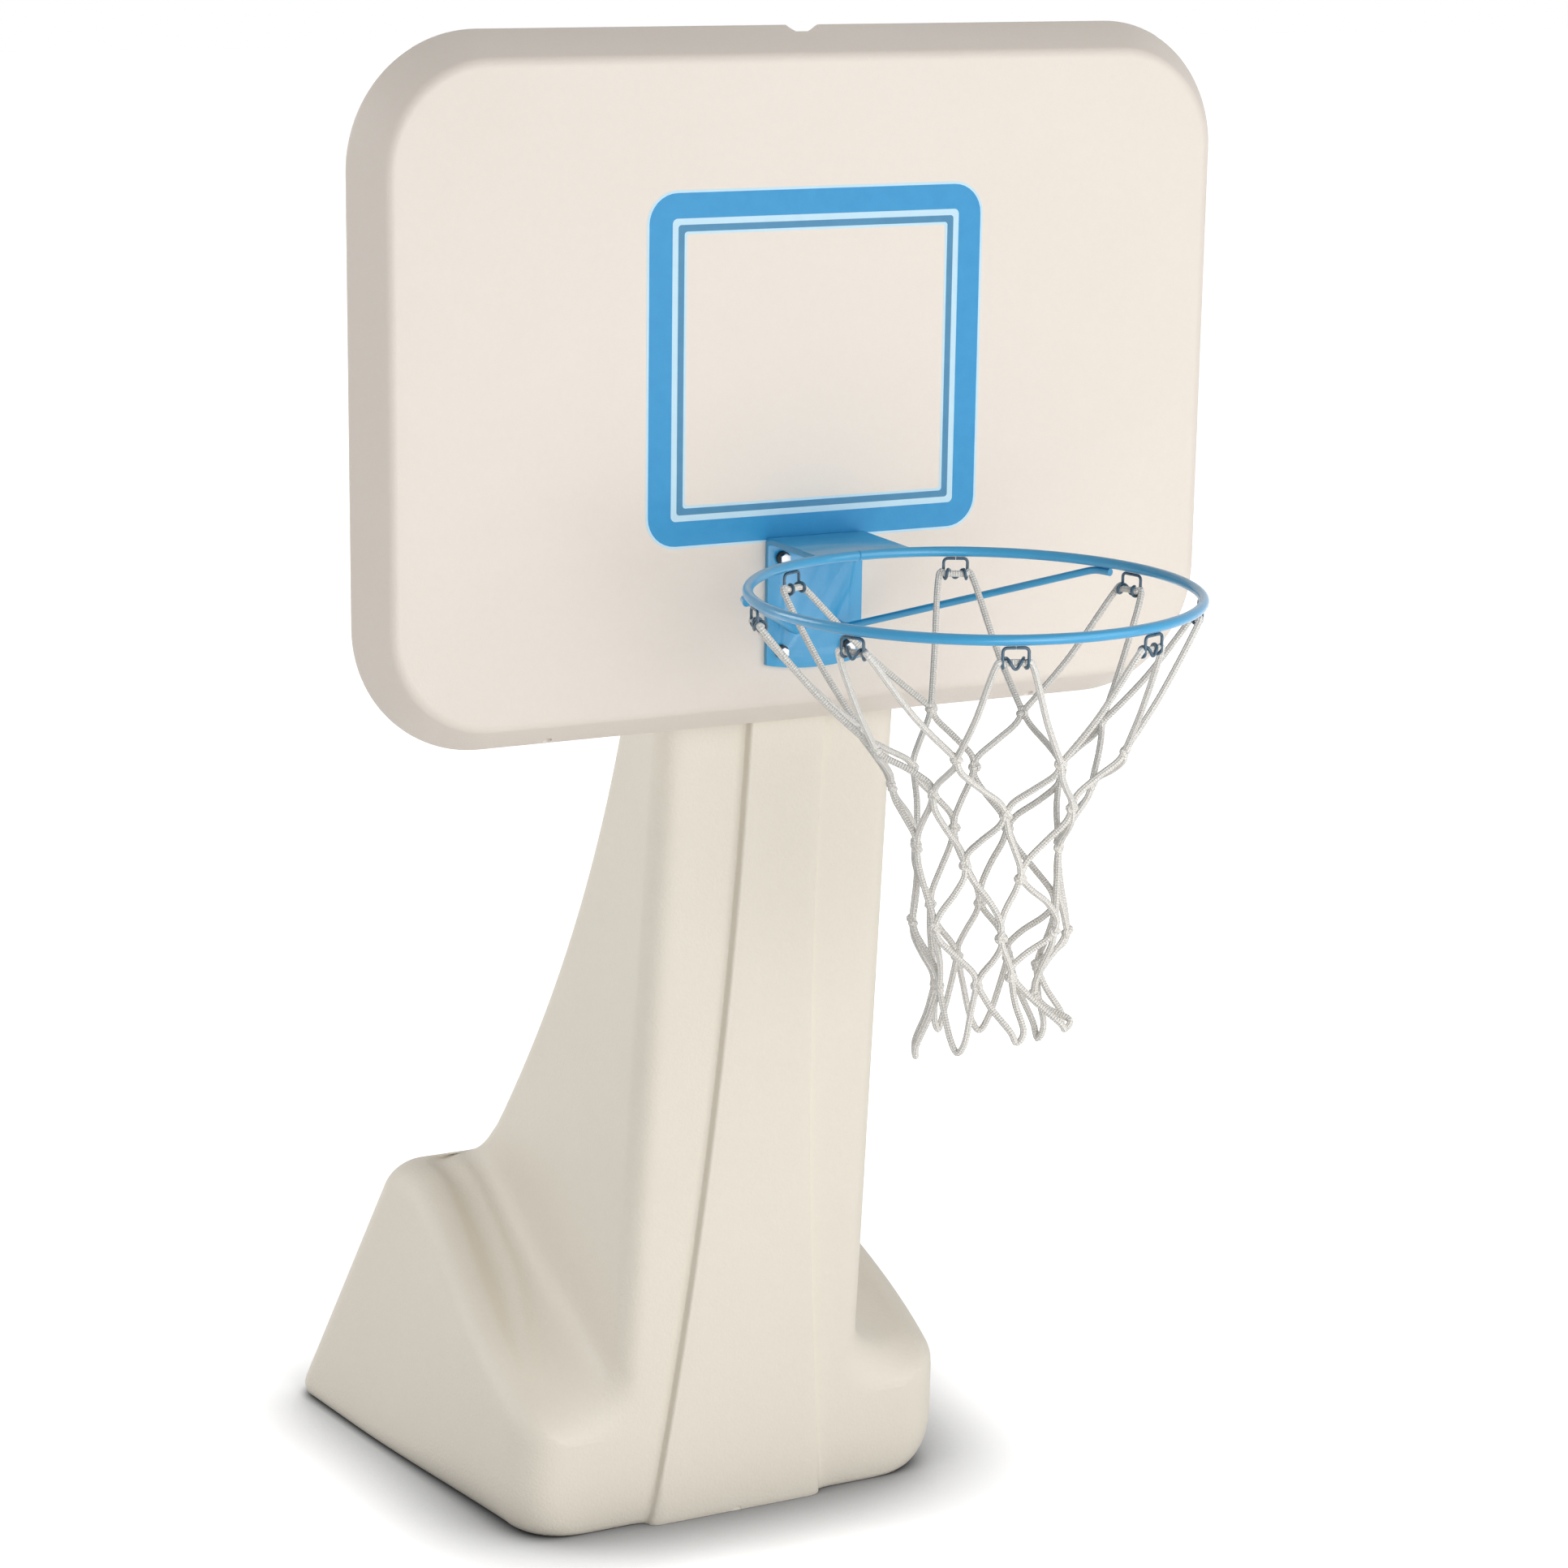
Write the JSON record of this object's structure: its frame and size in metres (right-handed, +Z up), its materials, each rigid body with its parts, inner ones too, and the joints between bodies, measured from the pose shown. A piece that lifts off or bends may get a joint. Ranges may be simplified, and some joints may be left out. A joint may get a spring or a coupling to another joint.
{
  "type": "poolside basketball hoop",
  "caption": "Portable poolside basketball hoop: water-weighted moulded stand with a leaning column, hollow backboard, and a rod rim with hooks and a cord net.",
  "frame": {"origin": "on the floor under the middle of the hoop's bounding box", "axes": "+Z up, the backboard's front face and the rim point towards -Y, +X to the right of a viewer in front"},
  "size_m": [0.762, 0.9818, 1.293],
  "materials": {
    "cream_plastic": "pebbled rotomoulded, satin",
    "board_plastic": "fine pebbled, satin",
    "pale_ink": "printed",
    "blue_ink": "printed",
    "dull_blue_ink": "printed",
    "blue_steel": "satin powder coat",
    "dark_blue_steel": "satin powder coat",
    "white_cord": "braided",
    "zinc": "zinc plated",
    "brass": "turned",
    "black_nylon": "moulded",
    "white_plastic": "moulded",
    "black_rubber": "moulded"
  },
  "bodies": {
    "hoop": {"base_shell": "cream_plastic", "backboard": "board_plastic", "target_ground": "pale_ink", "target_band": "blue_ink", "target_line": "dull_blue_ink", "rim_bracket": "blue_steel", "rim_ring": "blue_steel", "brace_left": "blue_steel", "brace_right": "blue_steel", "net": "white_cord", "net_hook_1": "dark_blue_steel", "net_hook_2": "dark_blue_steel", "net_hook_3": "dark_blue_steel", "net_hook_4": "dark_blue_steel", "net_hook_5": "dark_blue_steel", "net_hook_6": "dark_blue_steel", "net_hook_7": "dark_blue_steel", "net_hook_8": "dark_blue_steel", "bracket_bolt_1": "zinc", "bracket_washer_1": "black_nylon", "column_insert_1": "brass", "bracket_bolt_2": "zinc", "bracket_washer_2": "black_nylon", "column_insert_2": "brass", "bracket_bolt_3": "zinc", "bracket_washer_3": "black_nylon", "column_insert_3": "brass", "bracket_bolt_4": "zinc", "bracket_washer_4": "black_nylon", "column_insert_4": "brass"},
    "fill_seal": {"fill_seal": "black_rubber"},
    "fill_cap": {"fill_cap": "white_plastic"},
    "drain_seal": {"drain_seal": "black_rubber"},
    "drain_plug": {"drain_plug": "white_plastic"}
  },
  "joints": [
    {"name": "fill_cap_lift", "type": "slide", "parent": "hoop", "child": "fill_seal", "axis": [0, 0.9654, 0.2607], "range_m": [0, 0.015]},
    {"name": "fill_cap_turn", "type": "hinge", "parent": "fill_seal", "child": "fill_cap", "pos_m": [0, 0.44821, 0.176], "axis": [0, 0.9654, 0.2607], "range_deg": [0, 1080]},
    {"name": "drain_plug_lift", "type": "slide", "parent": "hoop", "child": "drain_seal", "axis": [0, 0.9654, 0.2607], "range_m": [0, 0.012]},
    {"name": "drain_plug_turn", "type": "hinge", "parent": "drain_seal", "child": "drain_plug", "pos_m": [0, 0.48331, 0.046], "axis": [0, 0.9654, 0.2607], "range_deg": [0, 1440]}
  ],
  "couplings": [
    {"joint": "fill_cap_lift", "follows": "fill_cap_turn", "m_per_rad": 0.000795},
    {"joint": "drain_plug_lift", "follows": "drain_plug_turn", "m_per_rad": 0.000477}
  ]
}
